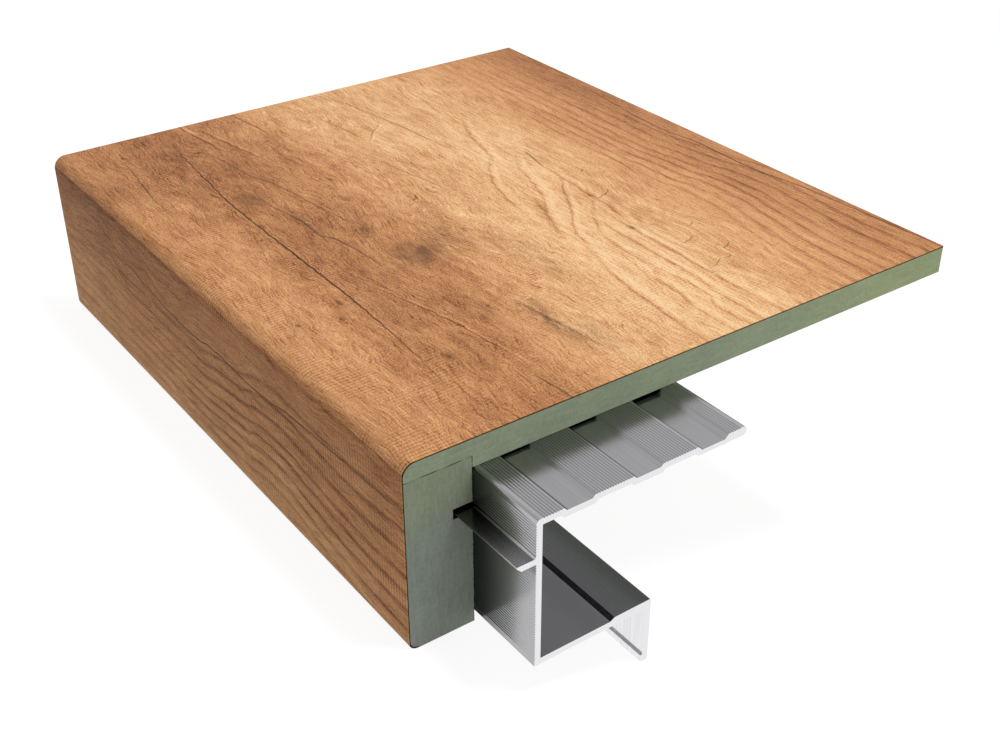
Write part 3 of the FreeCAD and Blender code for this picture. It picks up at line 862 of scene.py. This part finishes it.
# painted light: the lip is painted far lighter than the rest, over its real brushed streaks
brushed_and_lit = alloy.mix(alloy.span(brush, 0.35, 0.65), ALLOY_BRUSHED_LIT, ALLOY_LIP_LIT)
shade = alloy.mix(lip, shade, brushed_and_lit)
# painted shade: all of the profile that the board lies over is painted unlit
under_board_shade = alloy.math("MAXIMUM", on_flange, alloy.math("LESS_THAN", y, JOINT_BACK - COVER_EDGE))
under_board_shade = alloy.math("MULTIPLY", under_board_shade, alloy.math("LESS_THAN", x, TREAD_LENGTH - 2 * COVER_EDGE))
shade = alloy.mix(under_board_shade, shade, ALLOY_UNLIT)
ends = alloy.end_grain_mask()
alloy.join(alloy.mix(ends, shade, ALLOY_CUT), alloy.shader.inputs["Base Color"])
alloy.shader.inputs["Metallic"].default_value = 1.0
rough = alloy.span(die_lines, 0.3, 0.7, *ALLOY_ROUGHNESS)
alloy.join(alloy.math("MULTIPLY_ADD", ends, CUT_ROUGHER, rough), alloy.shader.inputs["Roughness"])
alloy.bump(die_lines, DIE_STRENGTH, DIE_DEPTH)
dress("support_profile", alloy)

# %% [markdown]
# A product picture on white needs a floor that is white to the camera but still takes a shadow.  The
# floor is a plain diffuse sheet on a light table: it glows a little, which fills the shade under the
# nosing, and for camera and mirror rays it glows up to white.

# %% Floor
FLOOR_SIZE = 20.0
FLOOR_GREY = (0.20, 0.20, 0.20, 1.0)
TABLE_GLOW = 0.23
SEEN_GLOW = 0.89
floor_mesh = bpy.data.meshes.new("floor")
shape = bmesh.new()
bmesh.ops.create_grid(shape, x_segments=1, y_segments=1, size=FLOOR_SIZE)
shape.to_mesh(floor_mesh)
shape.free()
floor = bpy.data.objects.new("floor", floor_mesh)
scene.collection.objects.link(floor)


def seen_directly(tree):
    """1 for rays from the camera, or from it by a mirror or through glass."""
    rays = tree.nodes.new("ShaderNodeLightPath")
    total = rays.outputs["Is Camera Ray"]
    for name in ("Is Glossy Ray", "Is Transmission Ray"):
        made = tree.nodes.new("ShaderNodeMath")
        made.operation = "MAXIMUM"
        tree.links.new(total, made.inputs[0])
        tree.links.new(rays.outputs[name], made.inputs[1])
        total = made.outputs[0]
    return total


paper = bpy.data.materials.new("white_floor")
paper.use_nodes = True
tree = paper.node_tree
tree.nodes.remove(tree.nodes["Principled BSDF"])
matt = tree.nodes.new("ShaderNodeBsdfDiffuse")
matt.inputs["Color"].default_value = FLOOR_GREY
glow = tree.nodes.new("ShaderNodeEmission")
scale = tree.nodes.new("ShaderNodeMath")
scale.operation = "MULTIPLY_ADD"
scale.inputs[1].default_value = SEEN_GLOW - TABLE_GLOW
scale.inputs[2].default_value = TABLE_GLOW
tree.links.new(seen_directly(tree), scale.inputs[0])
tree.links.new(scale.outputs[0], glow.inputs["Strength"])
both = tree.nodes.new("ShaderNodeAddShader")
tree.links.new(matt.outputs[0], both.inputs[0])
tree.links.new(glow.outputs[0], both.inputs[1])
tree.links.new(both.outputs[0], tree.nodes["Material Output"].inputs["Surface"])
floor_mesh.materials.append(paper)
print("floor:", floor.name)

# %% [markdown]
# The light is a plain studio: a soft grey room and one lamp above the tread, a little to its right, so
# that the top is bright, the front and the sawn end lie in soft shade, and the nosing shows where it turns
# from one to the other.  The world is white where the camera or a mirror looks past the floor.

# %% Light
WHITE = (1.0, 1.0, 1.0, 1.0)
ROOM_LIGHT = 0.5
LAMP_PLACE = (0.35, 0.02, 2.20)
LAMP_TARGET = (0.0, 0.0, 0.06)
LAMP_SIZE = 0.6
LAMP_POWER = 23.0
world = bpy.data.worlds.new("studio")
scene.world = world
world.use_nodes = True
tree = world.node_tree
room = tree.nodes["Background"]
room.inputs["Color"].default_value = WHITE
room.inputs["Strength"].default_value = ROOM_LIGHT
white = tree.nodes.new("ShaderNodeBackground")
white.inputs["Color"].default_value = WHITE
white.inputs["Strength"].default_value = 1.0
switch = tree.nodes.new("ShaderNodeMixShader")
tree.links.new(seen_directly(tree), switch.inputs["Fac"])
tree.links.new(room.outputs[0], switch.inputs[1])
tree.links.new(white.outputs[0], switch.inputs[2])
tree.links.new(switch.outputs[0], tree.nodes["World Output"].inputs["Surface"])
lamp_data = bpy.data.lights.new("key_lamp", "AREA")
lamp_data.shape = "DISK"
lamp_data.size = LAMP_SIZE
lamp_data.energy = LAMP_POWER
lamp = bpy.data.objects.new("key_lamp", lamp_data)
scene.collection.objects.link(lamp)
lamp.location = LAMP_PLACE
lamp.rotation_euler = (Vector(LAMP_TARGET) - Vector(LAMP_PLACE)).to_track_quat("-Z", "Y").to_euler()
print("key_lamp at", LAMP_PLACE)

# %% [markdown]
# The camera was found by fitting the tread's corners to the photograph, on a level tread.  The same turn
# that tips the tread also tips the camera, so the picture keeps the photograph's view.

# %% Camera
LENS_PIXELS = 1392.4282
PICTURE_WIDTH = 1000.0
SENSOR = 36.0
EYE = (218.7052, -129.6456, 239.0107)
AZIMUTH = math.radians(54.2906)
ELEVATION = math.radians(32.0797)
ROLL = math.radians(-0.1048)

backward = Vector(
    (math.sin(AZIMUTH) * math.cos(ELEVATION), -math.cos(AZIMUTH) * math.cos(ELEVATION), math.sin(ELEVATION))
)
rightward = Vector((0.0, 0.0, 1.0)).cross(backward).normalized()
upward = backward.cross(rightward)
turned_right = rightward * math.cos(ROLL) + upward * math.sin(ROLL)
turned_up = upward * math.cos(ROLL) - rightward * math.sin(ROLL)
axes = Matrix((turned_right, turned_up, backward)).transposed()
camera_data = bpy.data.cameras.new("camera")
camera_data.sensor_width = SENSOR
camera_data.sensor_fit = "HORIZONTAL"
camera_data.lens = LENS_PIXELS * SENSOR / PICTURE_WIDTH
camera_data.clip_start = 0.01
camera_data.clip_end = 100.0
camera = bpy.data.objects.new("camera", camera_data)
scene.collection.objects.link(camera)
camera.matrix_world = Matrix.Translation(on_tread(*EYE)) @ (rest.to_3x3() @ axes).to_4x4()
scene.camera = camera
print("camera at", [round(v, 4) for v in camera.matrix_world.translation])
